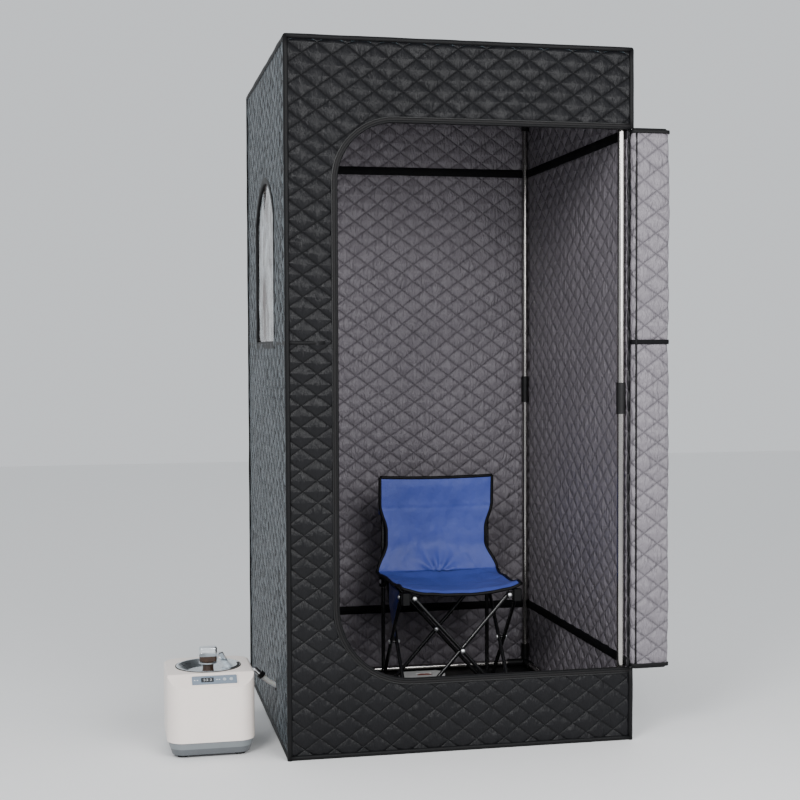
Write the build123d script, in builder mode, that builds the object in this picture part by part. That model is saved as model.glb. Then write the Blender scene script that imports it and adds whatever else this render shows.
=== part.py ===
from build123d import *
import math
import os

# Portable steam sauna: a quilted tent on a tube frame, its unrolled door, a folding chair,
# a steam generator outside the left wall, and the hose to a herb box on the tent's floor.
# Millimetres. X right, Y back, Z up; the origin is the middle of the tent's footprint on the floor.

os.makedirs("parts", exist_ok=True)

# --- Tent ---
tent_w = 900.0
tent_d = 900.0
tent_h = 1800.0
wall_t = 6.0
mat_t = 4.0
half_w = tent_w / 2
half_d = tent_d / 2

doorway_left = -325.0
doorway_z0 = 190.0
doorway_z1 = 1597.0
doorway_low_r = 190.0
doorway_top_r = 150.0

window_half_w = 205.0
window_z0 = 1045.0
window_spring_z = 1385.0
window_top_z = 1490.0
film_t = 1.0
film_gap = 0.2

# --- Tube frame ---
tube_r = 9.5
tube_wall = 0.9
post_x = 430.0
post_y = 430.0
boot_r = 12.0
boot_len = 60.0
tube_inset = 14.0
fit_gap = 0.1
frame_z0 = mat_t + boot_r
frame_z1 = tent_h - wall_t - boot_r - 2
sleeve_len = 82.0
post_mid_z = (frame_z0 + frame_z1) / 2
post_gap = 1.0

# --- Door, folded in strips beside the front right corner ---
strip_count = 8
strip_t = 5.0
strip_gap = 1.0
strip_pitch = strip_t + strip_gap
door_clear = 3.0
door_hinge_x = half_w + 3
door_hinge_y = -half_d - strip_gap / 2
strip_w = (door_hinge_x - doorway_left - door_clear) / strip_count
tie_z = 1045.0
tie_w = 12.0
tie_t = 1.5
tie_inset = 11.0

# --- Chair ---
chair_x0 = -74.0
chair_x1 = 251.0
chair_y0 = -80.0
chair_y1 = 245.0
corner_size = 24.0
foot_top = 40.0
pivot_low_z = 22.0
pivot_high_z = 330.0
hub_z0 = 312.0
hub_z1 = 345.0
pivot_in = 24.0
tongue_t = 4.0
tongue_reach = 31.0
tongue_h = 16.0
bar_r = 5.5
bar_wall = 1.0
bar_over = 8.0
bar_side = 8.0
pin_r = 2.5
pin_gap = 0.05
open_pin_gap = 0.5
head_r = 5.0
head_z0 = 14.0
head_z1 = 15.5
post_r = 6.0
post_foot_z = 12.0
post_top = 640.0
hub_post_gap = 0.3
seat_z = hub_z1 + 1
seat_t = 5.0
back_z0 = 352.0
back_z1 = 643.0
back_y = 229.0
back_t = 9.0

# --- Steam generator ---
gen_x = -638.0
gen_y = -268.0
gen_w = 222.0
gen_d = 236.0
gen_corner_r = 44.0
gen_wall = 3.0
gen_foot_h = 8.0
base_top = 41.0
housing_top = 209.0
slope_run = 36.0
slope_drop = 30.0
lid_y = gen_y + 10
lid_hole_r = 84.0
lid_r = 82.5
dish_depth = 22.0
lid_t = 3.0
tank_r = 76.0
tank_wall = 1.5
tank_z0 = 60.0
tank_z1 = 195.0
heater_r = 55.0
heater_h = 9.0
knob_r = 17.0
knob_z1 = 221.0
handle_top = 256.0
panel_w = 113.0
panel_h = 26.0
panel_t = 3.0
button_r = 4.5
button_gap = 0.3
button_travel = 1.0

# --- Hose and herb box ---
hose_r = 7.0
hose_bore_r = 4.5
outlet_y = -185.0
outlet_z = 176.0
elbow_turn_x = -508.0
elbow_end = (-495.0, outlet_y, 163.0)
port_y = -181.5
port_z = 127.0
port_r = 12.5
box_x0 = -38.0
box_x1 = 92.0
box_y0 = 92.0
box_y1 = 182.0
box_split_z = 52.0
box_top_z = 62.0
box_wall = 2.5
box_port_y = 137.0
box_port_z = 24.0


def finish(piece, name):
    """Labels one finished piece and writes its STEP file."""
    piece.part.label = name
    export_step(piece.part, f"parts/{name}.step")


# ---------------------------------------------------------------- tent


def doorway_outline(shift_x, mirror, inset, right_x):
    """The doorway's outline in the current line builder, open to right_x, as (x, z) on an upright plane.

    x runs from shift_x, and is reversed when mirror is -1.
    """

    def at(x, z):
        return (mirror * (x - shift_x), z)

    left = doorway_left + inset
    low = doorway_z0 + inset
    top = doorway_z1 - inset
    low_r = doorway_low_r - inset
    top_r = doorway_top_r - inset
    low_mid = (left + low_r * (1 - math.sqrt(0.5)), low + low_r * (1 - math.sqrt(0.5)))
    top_mid = (left + top_r * (1 - math.sqrt(0.5)), top - top_r * (1 - math.sqrt(0.5)))
    Line(at(right_x, low), at(left + low_r, low))
    ThreePointArc(at(left + low_r, low), at(*low_mid), at(left, low + low_r))
    Line(at(left, low + low_r), at(left, top - top_r))
    ThreePointArc(at(left, top - top_r), at(*top_mid), at(left + top_r, top))
    Line(at(left + top_r, top), at(right_x, top))
    Line(at(right_x, top), at(right_x, low))


def window_outline(inset):
    """The arched window's outline in the current line builder, as (y, z)."""
    side = window_half_w - inset
    Line((-side, window_z0 + inset), (side, window_z0 + inset))
    Line((side, window_z0 + inset), (side, window_spring_z))
    ThreePointArc((side, window_spring_z), (0, window_top_z - inset), (-side, window_spring_z))
    Line((-side, window_spring_z), (-side, window_z0 + inset))


wall_h = tent_h - wall_t

with BuildPart() as floor_mat:
    with BuildSketch():
        Rectangle(tent_w - 2 * wall_t, tent_d - 2 * wall_t)
    extrude(amount=mat_t)
finish(floor_mat, "floor_mat")

with BuildPart() as roof_panel:
    with BuildSketch(Plane.XY.offset(wall_h)):
        Rectangle(tent_w, tent_d)
    extrude(amount=wall_t)
finish(roof_panel, "roof_panel")

with BuildPart() as front_panel:
    with BuildSketch(Plane.XZ.offset(half_d - wall_t)):
        with Locations((0, wall_h / 2)):
            Rectangle(tent_w, wall_h)
        with BuildLine():
            doorway_outline(0, 1, 0, half_w + wall_t)
        make_face(mode=Mode.SUBTRACT)
    extrude(amount=wall_t)
finish(front_panel, "front_panel")

with BuildPart() as back_panel:
    with BuildSketch(Plane.XZ.offset(-half_d)):
        with Locations((0, wall_h / 2)):
            Rectangle(tent_w, wall_h)
    extrude(amount=wall_t)
finish(back_panel, "back_panel")

with BuildPart() as right_panel:
    with BuildSketch(Plane.YZ.offset(half_w - wall_t)):
        with Locations((0, wall_h / 2)):
            Rectangle(tent_d - 2 * wall_t, wall_h)
    extrude(amount=wall_t)
finish(right_panel, "right_panel")

with BuildPart() as left_panel:
    with BuildSketch(Plane.YZ.offset(-half_w)):
        with Locations((0, wall_h / 2)):
            Rectangle(tent_d - 2 * wall_t, wall_h)
        with BuildLine():
            window_outline(0)
        make_face(mode=Mode.SUBTRACT)
        with Locations((port_y, port_z)):
            Circle(port_r + 1.5, mode=Mode.SUBTRACT)
    extrude(amount=wall_t)
finish(left_panel, "left_panel")

with BuildPart() as window_film:
    with BuildSketch(Plane.YZ.offset(-half_w + (wall_t - film_t) / 2)):
        with BuildLine():
            window_outline(film_gap)
        make_face()
    extrude(amount=film_t)
finish(window_film, "window_film")

# A grommet: a sleeve in the wall's hole between two flanges
with BuildPart() as hose_port:
    for x, outer_r, length in (
        (-half_w - 3, 22, 3),
        (-half_w, port_r + 1.4, wall_t),
        (-half_w + wall_t, 22, 3),
    ):
        with BuildSketch(Plane.YZ.offset(x)):
            with Locations((port_y, port_z)):
                Circle(outer_r)
                Circle(port_r, mode=Mode.SUBTRACT)
        extrude(amount=length)
finish(hose_port, "hose_port")

# ---------------------------------------------------------------- tube frame


def tube(plane, length, outer_r, wall):
    """A round tube from the plane's origin along its normal, in the current part."""
    with BuildSketch(plane) as ring:
        Circle(outer_r)
        Circle(outer_r - wall, mode=Mode.SUBTRACT)
    extrude(ring.sketch, amount=length)


corners = [(sx, sy) for sx in (-1, 1) for sy in (-1, 1)]

with BuildPart() as lower_posts:
    for sx, sy in corners:
        z0 = frame_z0 + tube_inset
        start = Plane.XY.offset(z0).shift_origin((sx * post_x, sy * post_y, z0))
        tube(start, post_mid_z - post_gap / 2 - z0, tube_r, tube_wall)
finish(lower_posts, "lower_posts")

with BuildPart() as upper_posts:
    for sx, sy in corners:
        z0 = post_mid_z + post_gap / 2
        start = Plane.XY.offset(z0).shift_origin((sx * post_x, sy * post_y, z0))
        tube(start, frame_z1 - tube_inset - z0, tube_r, tube_wall)
finish(upper_posts, "upper_posts")

with BuildPart() as post_sleeves:
    for sx, sy in corners:
        z0 = post_mid_z - sleeve_len / 2
        start = Plane.XY.offset(z0).shift_origin((sx * post_x, sy * post_y, z0))
        tube(start, sleeve_len, boot_r, boot_r - tube_r - fit_gap)
finish(post_sleeves, "post_sleeves")


def rails(z):
    """Four rails at height z between the corner connectors, in the current part."""
    span = 2 * (post_x - tube_inset)
    for side in (-1, 1):
        along_x = Plane(origin=(-span / 2, side * post_y, z), z_dir=(1, 0, 0))
        tube(along_x, span, tube_r, tube_wall)
        along_y = Plane(origin=(side * post_x, -span / 2, z), z_dir=(0, 1, 0))
        tube(along_y, span, tube_r, tube_wall)


with BuildPart() as bottom_rails:
    rails(frame_z0)
finish(bottom_rails, "bottom_rails")

with BuildPart() as top_rails:
    rails(frame_z1)
finish(top_rails, "top_rails")

with BuildPart() as corner_connectors:
    for level_z, up in ((frame_z0, 1), (frame_z1, -1)):
        for sx, sy in corners:
            centre = (sx * post_x, sy * post_y, level_z)
            ways = ((-sx, 0, 0), (0, -sy, 0), (0, 0, up))
            with Locations(centre):
                Sphere(boot_r)
            for way in ways:
                with BuildSketch(Plane(origin=centre, z_dir=way)):
                    Circle(boot_r)
                extrude(amount=boot_len)
            for way in ways:
                with BuildSketch(Plane(origin=centre, z_dir=way).offset(tube_inset)):
                    Circle(tube_r + fit_gap)
                extrude(amount=boot_len, mode=Mode.SUBTRACT)
finish(corner_connectors, "corner_connectors")

# ---------------------------------------------------------------- door


def strip_plane(k):
    """The plane of strip k's face at its fold; its x runs along the door, away from the corner."""
    front_y = door_hinge_y - strip_gap / 2 - strip_t + strip_pitch * (k - 1)
    if k % 2:
        return Plane(origin=(door_hinge_x, front_y + strip_t, 0), x_dir=(1, 0, 0), z_dir=(0, -1, 0))
    return Plane(origin=(door_hinge_x + strip_w, front_y, 0), x_dir=(-1, 0, 0), z_dir=(0, 1, 0))


for k in range(1, strip_count + 1):
    fold_x = door_hinge_x - (k - 1) * strip_w
    with BuildPart() as door_strip:
        with BuildSketch(strip_plane(k)):
            with BuildLine():
                doorway_outline(fold_x, -1, door_clear, door_hinge_x)
            make_face()
            with Locations((strip_w / 2, tent_h / 2)):
                Rectangle(strip_w - strip_gap, tent_h, mode=Mode.INTERSECT)
        extrude(amount=strip_t)
    finish(door_strip, f"door_strip_{k}")

# The tie band around the folded door, with its toggle
tie_face_y = door_hinge_y - strip_gap / 2 - strip_t
with BuildPart() as door_tie:
    with BuildSketch(Plane.XZ.offset(-tie_face_y)):
        with Locations((door_hinge_x + (strip_w + tie_inset) / 2, tie_z)):
            Rectangle(strip_w - tie_inset - strip_gap, tie_w)
    extrude(amount=tie_t)
    with BuildSketch(Plane.XZ.offset(-tie_face_y + tie_t)):
        with Locations((door_hinge_x + strip_w / 2, tie_z)):
            RectangleRounded(20, 16, 4)
    extrude(amount=2)
finish(door_tie, "door_tie")

# ---------------------------------------------------------------- chair

chair_corners = {
    "rr": (chair_x1, chair_y1),
    "rl": (chair_x0, chair_y1),
    "fr": (chair_x1, chair_y0),
    "fl": (chair_x0, chair_y0),
}
# name, foot corner, hub corner, the side of the frame that the bar runs on, and whether it
# carries the crossing rivet; the outer bar of each X carries it
chair_bars = [
    ("rear_bar_a", "rr", "rl", (0, 1, 0), True),
    ("rear_bar_b", "rl", "rr", (0, -1, 0), False),
    ("right_bar_a", "rr", "fr", (1, 0, 0), True),
    ("right_bar_b", "fr", "rr", (-1, 0, 0), False),
    ("left_bar_a", "rl", "fl", (-1, 0, 0), True),
    ("left_bar_b", "fl", "rl", (1, 0, 0), False),
    ("front_bar_a", "fr", "fl", (0, -1, 0), True),
    ("front_bar_b", "fl", "fr", (0, 1, 0), False),
]
# bar ends that meet a pin on a body that another pivot already holds, so they get more room
open_ends = {"right_bar_b", "left_bar_b", "front_bar_a", "front_bar_b"}


def towards(a, b):
    """The unit direction along X or Y from corner a to corner b."""
    ax, ay = chair_corners[a]
    bx, by = chair_corners[b]
    span = abs(bx - ax) + abs(by - ay)
    return Vector((bx - ax) / span, (by - ay) / span, 0)


def pivots(name, low, high, side):
    """A bar's lower and upper pivot centres, on the bar's own line."""
    way = towards(low, high)
    out = Vector(*side) * bar_side
    lx, ly = chair_corners[low]
    hx, hy = chair_corners[high]
    bottom = Vector(lx, ly, pivot_low_z) + way * pivot_in + out
    top = Vector(hx, hy, pivot_high_z) - way * pivot_in + out
    return bottom, top


for name, low, high, side, riveted in chair_bars:
    bottom, top = pivots(name, low, high, side)
    way = (top - bottom).normalized()
    length = (top - bottom).length
    middle = (bottom + top) * 0.5
    with BuildPart() as bar:
        tube(Plane(origin=bottom - way * bar_over, z_dir=way), length + 2 * bar_over, bar_r, bar_wall)
        for centre, gap in (
            (bottom, pin_gap),
            (middle, open_pin_gap if name.startswith("front") else pin_gap),
            (top, open_pin_gap if name in open_ends else pin_gap),
        ):
            if centre is middle and riveted:
                continue
            with BuildSketch(Plane(origin=centre, z_dir=side)):
                Circle(pin_r + gap)
            extrude(amount=bar_r + 1, both=True, mode=Mode.SUBTRACT)
        if riveted:
            inward = Vector(*side) * -1
            with BuildSketch(Plane(origin=middle - inward * bar_r, z_dir=inward)):
                Circle(pin_r)
            extrude(amount=bar_r + bar_side + head_z1)
            with BuildSketch(Plane(origin=middle + inward * (bar_r - 0.5), z_dir=inward)):
                Circle(head_r - 1)
            extrude(amount=2 * (bar_side - bar_r) - 0.4 + 0.5)
            with BuildSketch(Plane(origin=middle + inward * (bar_side + head_z0), z_dir=inward)):
                Circle(head_r)
            extrude(amount=head_z1 - head_z0)
    finish(bar, name)


def corner_block(corner, z0, z1, pivot_z, bore_r, bore_z0):
    """A corner fitting: a square block, a tongue along each side, and a headed pin in each tongue."""
    cx, cy = chair_corners[corner]
    level = "low" if pivot_z == pivot_low_z else "high"
    with BuildSketch(Plane.XY.offset(z0).shift_origin((cx, cy, z0))) as block:
        RectangleRounded(corner_size, corner_size, 5)
    extrude(block.sketch, amount=z1 - z0)
    for name, low, high, side, _ in chair_bars:
        here, there = (low, high) if level == "low" else (high, low)
        if here != corner:
            continue
        way = towards(here, there)
        reach = Plane(origin=Vector(cx, cy, pivot_z), x_dir=way, z_dir=side)
        with BuildSketch(reach.offset(-tongue_t / 2)) as tongue:
            with Locations((tongue_reach / 2, 0)):
                Rectangle(tongue_reach, tongue_h)
        extrude(tongue.sketch, amount=tongue_t)
        with BuildSketch(reach) as pin:
            with Locations((pivot_in, 0)):
                Circle(pin_r)
        extrude(pin.sketch, amount=head_z1)
        with BuildSketch(reach.offset(head_z0)) as head:
            with Locations((pivot_in, 0)):
                Circle(head_r)
        extrude(head.sketch, amount=head_z1 - head_z0)
    if bore_r:
        with BuildSketch(Plane.XY.offset(bore_z0).shift_origin((cx, cy, bore_z0))) as bore:
            Circle(bore_r)
        extrude(bore.sketch, amount=z1 - bore_z0, mode=Mode.SUBTRACT)


for corner in chair_corners:
    rear = corner.startswith("r")
    with BuildPart() as foot:
        corner_block(corner, mat_t, foot_top, pivot_low_z, post_r + pin_gap if rear else 0, post_foot_z)
    finish(foot, f"chair_foot_{corner}")
    with BuildPart() as hub:
        corner_block(corner, hub_z0, hub_z1, pivot_high_z, post_r + hub_post_gap if rear else 0, hub_z0)
    finish(hub, f"chair_hub_{corner}")
    if rear:
        cx, cy = chair_corners[corner]
        with BuildPart() as post:
            start = Plane.XY.offset(post_foot_z).shift_origin((cx, cy, post_foot_z))
            tube(start, post_top - post_foot_z, post_r, bar_wall)
        finish(post, f"chair_post_{corner}")

seat_mid_y = (chair_y0 + chair_y1) / 2
seat_side = corner_size / 2
for name, y0, y1 in (
    ("seat_front", chair_y0 - seat_side, seat_mid_y - 0.5),
    ("seat_rear", seat_mid_y + 0.5, back_y - 1),
):
    with BuildPart() as seat_half:
        with BuildSketch(Plane.XY.offset(seat_z)):
            with Locations(((chair_x0 + chair_x1) / 2, (y0 + y1) / 2)):
                Rectangle(chair_x1 - chair_x0 + corner_size, y1 - y0)
        extrude(amount=seat_t)
    finish(seat_half, name)

with BuildPart() as backrest:
    with BuildSketch(Plane.XZ.offset(-back_y - back_t)):
        with Locations(((chair_x0 + chair_x1) / 2, (back_z0 + back_z1) / 2)):
            Rectangle(chair_x1 - chair_x0 + corner_size, back_z1 - back_z0)
    extrude(amount=back_t)
finish(backrest, "backrest")

# ---------------------------------------------------------------- steam generator

with BuildPart() as generator_feet:
    with BuildSketch():
        with Locations((gen_x, gen_y)):
            with GridLocations(gen_w - 78, gen_d - 78, 2, 2):
                Circle(13)
    extrude(amount=gen_foot_h)
finish(generator_feet, "generator_feet")

with BuildPart() as generator_base:
    with BuildSketch(Plane.XY.offset(base_top)):
        with Locations((gen_x, gen_y)):
            RectangleRounded(gen_w - 4, gen_d - 4, gen_corner_r - 2)
    extrude(amount=-(base_top - gen_foot_h), taper=18)
    with BuildSketch(Plane.XY.offset(base_top)):
        with Locations((gen_x, gen_y)):
            RectangleRounded(gen_w - 12, gen_d - 12, gen_corner_r - 6)
    extrude(amount=-(base_top - gen_foot_h - gen_wall), taper=18, mode=Mode.SUBTRACT)
    with BuildSketch(Plane.XY.offset(gen_foot_h + gen_wall)):
        with Locations((gen_x, lid_y)):
            Circle(30)
            Circle(26, mode=Mode.SUBTRACT)
    extrude(amount=tank_z0 - heater_h - gen_foot_h - gen_wall)
finish(generator_base, "generator_base")

with BuildPart() as heater_plate:
    with BuildSketch(Plane.XY.offset(tank_z0 - heater_h)):
        with Locations((gen_x, lid_y)):
            Circle(heater_r)
    extrude(amount=heater_h)
finish(heater_plate, "heater_plate")

with BuildPart() as water_tank:
    with BuildSketch(Plane.XY.offset(tank_z0)):
        with Locations((gen_x, lid_y)):
            Circle(tank_r)
    extrude(amount=tank_z1 - tank_z0)
    with BuildSketch(Plane.XY.offset(tank_z0 + tank_wall)):
        with Locations((gen_x, lid_y)):
            Circle(tank_r - tank_wall)
    extrude(amount=tank_z1 - tank_z0, mode=Mode.SUBTRACT)
finish(water_tank, "water_tank")

front_y = gen_y - gen_d / 2
slope_z = housing_top - slope_drop


def housing_form(inset):
    """The housing's form in the current part, drawn in by inset on every face but the bottom."""
    with BuildSketch(Plane.XY.offset(base_top)) as plan:
        with Locations((gen_x, gen_y)):
            RectangleRounded(gen_w - 2 * inset, gen_d - 2 * inset, gen_corner_r - inset)
    extrude(plan.sketch, amount=housing_top - base_top - inset)
    drop = inset * math.hypot(slope_run, slope_drop) / slope_run
    with BuildSketch(Plane.YZ.offset(gen_x - gen_w)) as wedge:
        with BuildLine():
            Polyline(
                (front_y - slope_run, slope_z - slope_drop - drop),
                (front_y + 2 * slope_run, slope_z + 2 * slope_drop - drop),
                (front_y - slope_run, slope_z + 2 * slope_drop - drop),
                close=True,
            )
        make_face()
    extrude(wedge.sketch, amount=2 * gen_w, mode=Mode.SUBTRACT)


with BuildPart() as housing_cavity:
    housing_form(gen_wall)

with BuildPart() as generator_housing:
    housing_form(0)
    fillet(generator_housing.edges().group_by(Axis.Z)[-1], 6)
    add(housing_cavity.part, mode=Mode.SUBTRACT)
    with BuildSketch(Plane.XY.offset(housing_top - 2 * gen_wall)):
        with Locations((gen_x, lid_y)):
            Circle(lid_hole_r)
    extrude(amount=3 * gen_wall, mode=Mode.SUBTRACT)
    with BuildSketch(Plane.YZ.offset(gen_x + gen_w / 2 - 2 * gen_wall)):
        with Locations((outlet_y, outlet_z)):
            Circle(hose_bore_r)
    extrude(amount=3 * gen_wall, mode=Mode.SUBTRACT)
finish(generator_housing, "generator_housing")

# A bowl-shaped lid with a raised rim
rim_top = housing_top + 2
dish_floor = rim_top - dish_depth
lid_profile = [
    (0, dish_floor - lid_t),
    (30, dish_floor - lid_t),
    (55, dish_floor + 2),
    (70, rim_top - 10),
    (lid_r, rim_top - 4),
    (lid_r, rim_top),
    (78, rim_top),
    (70, rim_top - 5),
    (54, dish_floor + 6),
    (30, dish_floor),
    (0, dish_floor),
]
with BuildPart() as tank_lid:
    with BuildSketch(Plane(origin=(gen_x, lid_y, 0), x_dir=(1, 0, 0), z_dir=(0, -1, 0))):
        with BuildLine():
            Polyline(*lid_profile, close=True)
        make_face()
    revolve(axis=Axis((gen_x, lid_y, 0), (0, 0, 1)))
finish(tank_lid, "tank_lid")

# The clamp's screw knob: a waisted stem under a flat T handle
with BuildPart() as clamp_knob:
    with BuildSketch(Plane(origin=(gen_x, lid_y, 0), x_dir=(1, 0, 0), z_dir=(0, -1, 0))):
        with BuildLine():
            Polyline((knob_r, knob_z1), (0, knob_z1), (0, dish_floor), (knob_r, dish_floor))
            ThreePointArc((knob_r, dish_floor), (knob_r - 3, (dish_floor + knob_z1) / 2), (knob_r, knob_z1))
        make_face()
    revolve(axis=Axis((gen_x, lid_y, 0), (0, 0, 1)))
    with BuildSketch(Plane.XY.offset(knob_z1).shift_origin((gen_x, lid_y, knob_z1))):
        RectangleRounded(44, 28, 7)
    extrude(amount=handle_top - knob_z1)
    fillet(clamp_knob.edges().group_by(Axis.Z)[-1], 4)
finish(clamp_knob, "clamp_knob")

# The clamp's arm: a ring around the knob's stem and a strap down to the lid's rim
arm_z = knob_z1 - 5
arm_t = 3.0
arm_way = Vector(math.sin(math.radians(35)), math.cos(math.radians(35)), 0)
ring_r = 24.0
strap_top = arm_z + 17
with BuildPart() as clamp_arm:
    with BuildSketch(Plane.XY.offset(arm_z).shift_origin((gen_x, lid_y, arm_z))):
        Circle(ring_r)
    extrude(amount=arm_t)
    arm_plane = Plane(origin=(gen_x, lid_y, 0), x_dir=arm_way, z_dir=arm_way.cross(Vector(0, 0, 1)))
    with BuildSketch(arm_plane.offset(-8)):
        with BuildLine():
            Polyline(
                (ring_r - 4, arm_z),
                (29, arm_z),
                (44, strap_top - arm_t),
                (60, strap_top - arm_t),
                (73, rim_top + 4),
                (74, rim_top),
                (82, rim_top),
                (82, rim_top + 3),
                (76, rim_top + 6),
                (61, strap_top),
                (43, strap_top),
                (28, arm_z + arm_t),
                (ring_r - 4, arm_z + arm_t),
                close=True,
            )
        make_face()
    extrude(amount=16)
    with BuildSketch(Plane.XY.offset(arm_z).shift_origin((gen_x, lid_y, arm_z))):
        Circle(knob_r + 0.6)
    extrude(amount=arm_t, mode=Mode.SUBTRACT)
finish(clamp_arm, "clamp_arm")

slope_angle = math.degrees(math.atan2(slope_drop, slope_run))
slope_normal = Vector(0, -math.sin(math.radians(slope_angle)), math.cos(math.radians(slope_angle)))
panel_centre = Vector(gen_x + 8, front_y + slope_run / 2, slope_z + slope_drop / 2)
panel_plane = Plane(origin=panel_centre, x_dir=(1, 0, 0), z_dir=slope_normal)
button_places = {"button_power": 42.0, "button_timer": 25.0}

with BuildPart() as control_panel:
    with BuildSketch(panel_plane):
        RectangleRounded(panel_w, panel_h, 3)
        with Locations(*[(x, 0) for x in button_places.values()]):
            Circle(button_r + button_gap, mode=Mode.SUBTRACT)
    extrude(amount=panel_t)
finish(control_panel, "control_panel")

for name, x in button_places.items():
    with BuildPart() as button:
        with BuildSketch(panel_plane.offset(button_travel + 0.4)):
            with Locations((x, 0)):
                Circle(button_r)
        extrude(amount=panel_t - 0.4)
        fillet(button.edges().sort_by(Axis(panel_centre, slope_normal))[-1], 0.4)
    finish(button, name)

# The outlet elbow, its collar against the housing's right side
with BuildPart() as outlet_elbow:
    with BuildLine() as elbow_path:
        FilletPolyline(
            (gen_x + gen_w / 2, outlet_y, outlet_z),
            (elbow_turn_x, outlet_y, outlet_z),
            elbow_end,
            radius=8,
        )
    with BuildSketch(Plane(origin=(gen_x + gen_w / 2, outlet_y, outlet_z), z_dir=(1, 0, 0))):
        Circle(hose_r)
        Circle(hose_bore_r, mode=Mode.SUBTRACT)
    sweep()
    tube(Plane(origin=(gen_x + gen_w / 2, outlet_y, outlet_z), z_dir=(1, 0, 0)), 5, 13, 13 - hose_r + 0.5)
finish(outlet_elbow, "outlet_elbow")

nut_way = Vector(1, 0, -1).normalized()
nut_start = Vector(*elbow_end) - nut_way * 2
with BuildPart() as hose_nut:
    with BuildSketch(Plane(origin=nut_start, z_dir=nut_way)):
        RegularPolygon(11, 8)
        Circle(hose_r + fit_gap, mode=Mode.SUBTRACT)
    extrude(amount=12)
finish(hose_nut, "hose_nut")

# ---------------------------------------------------------------- hose and herb box

hose_route = [
    elbow_end,
    (-471, -185, 139),
    (-437, -180, 122),
    (-405, -164, 98),
    (-375, -139, 66),
    (-341, -105, 33),
    (-300, -62, 14),
    (-256, -14, 11.4),
    (-207, 32, 11.2),
    (-162, 76, 11.4),
    (-120, 112, 13),
    (-80, 131, 19),
    (box_x0, box_port_y, box_port_z),
]


def bend_radii(route):
    """Each corner's radius: 0.45 of its shorter run over the tangent of half the turn."""
    radii = []
    for a, b, c in zip(route, route[1:], route[2:]):
        before = Vector(*b) - Vector(*a)
        after = Vector(*c) - Vector(*b)
        half_turn = math.radians(before.get_angle(after)) / 2
        radii.append(0.45 * min(before.length, after.length) / math.tan(half_turn))
    return radii


hose_radii = bend_radii(hose_route)
with BuildPart() as steam_hose:
    with BuildLine() as hose_path:
        FilletPolyline(*hose_route, radius=hose_radii)
    with BuildSketch(Plane(origin=hose_route[0], z_dir=hose_path.wires()[0] % 0)):
        Circle(hose_r)
    sweep()
finish(steam_hose, "steam_hose")
hose_length = hose_path.wires()[0].length
print("hose bend radii", [round(r) for r in hose_radii])
print("hose length", round(hose_length), "volume ratio",
      round(steam_hose.part.volume / (math.pi * hose_r**2 * hose_length), 4))


def box_outline(inset):
    """The herb box's plan with cut corners, the largest at the front right."""
    x0, x1 = box_x0 + inset, box_x1 - inset
    y0, y1 = box_y0 + inset, box_y1 - inset
    cut, wide_cut = 18 - inset / 2, 46 - inset / 2
    Polyline(
        (x0 + cut, y0),
        (x1 - wide_cut, y0),
        (x1, y0 + wide_cut),
        (x1, y1 - cut),
        (x1 - cut, y1),
        (x0 + cut, y1),
        (x0, y1 - cut),
        (x0, y0 + cut),
        close=True,
    )


with BuildPart() as herb_box:
    for z, top, inset, mode in (
        (mat_t, box_split_z, 0, Mode.ADD),
        (mat_t + box_wall, box_split_z, box_wall, Mode.SUBTRACT),
    ):
        with BuildSketch(Plane.XY.offset(z)):
            with BuildLine():
                box_outline(inset)
            make_face()
        extrude(amount=top - z, mode=mode)
    with BuildSketch(Plane.YZ.offset(box_x0)):
        with Locations((box_port_y, box_port_z)):
            Circle(hose_bore_r)
    extrude(amount=box_wall, mode=Mode.SUBTRACT)
finish(herb_box, "herb_box")

# The lid, with the well that holds the herbs and its steam slots
well = (30, 140, 46, 26)
with BuildPart() as herb_lid:
    with BuildSketch(Plane.XY.offset(box_split_z)):
        with BuildLine():
            box_outline(0)
        make_face()
    extrude(amount=box_top_z - box_split_z)
    with BuildSketch(Plane.XY.offset(box_top_z - 4)):
        with Locations(well[:2]):
            Rectangle(*well[2:])
    extrude(amount=4, mode=Mode.SUBTRACT)
    with BuildSketch(Plane.XY.offset(box_split_z)):
        with Locations(well[:2]):
            with GridLocations(8, 1, 5, 1):
                SlotOverall(16, 3, rotation=90)
    extrude(amount=box_top_z - box_split_z, mode=Mode.SUBTRACT)
finish(herb_lid, "herb_lid")
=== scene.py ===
import math

import bmesh
import bpy
import numpy as np
from mathutils import Matrix, Vector, noise


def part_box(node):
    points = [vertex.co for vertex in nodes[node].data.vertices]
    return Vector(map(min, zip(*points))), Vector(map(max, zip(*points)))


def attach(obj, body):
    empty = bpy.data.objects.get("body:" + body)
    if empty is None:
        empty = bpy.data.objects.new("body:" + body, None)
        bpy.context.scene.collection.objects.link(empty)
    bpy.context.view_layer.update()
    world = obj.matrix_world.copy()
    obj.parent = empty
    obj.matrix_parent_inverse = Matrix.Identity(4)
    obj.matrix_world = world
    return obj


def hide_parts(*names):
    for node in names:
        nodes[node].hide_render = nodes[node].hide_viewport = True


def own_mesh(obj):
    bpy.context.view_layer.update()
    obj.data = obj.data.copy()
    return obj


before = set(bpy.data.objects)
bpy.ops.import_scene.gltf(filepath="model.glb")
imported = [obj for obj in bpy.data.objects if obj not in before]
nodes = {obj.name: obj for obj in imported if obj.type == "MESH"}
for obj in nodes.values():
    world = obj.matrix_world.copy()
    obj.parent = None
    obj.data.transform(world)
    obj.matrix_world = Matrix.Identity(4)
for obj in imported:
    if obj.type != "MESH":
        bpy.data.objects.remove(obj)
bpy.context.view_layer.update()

# The looks of a portable steam sauna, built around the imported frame. Metres, as in the frame.
X, Y, Z = Vector((1, 0, 0)), Vector((0, 1, 0)), Vector((0, 0, 1))

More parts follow.
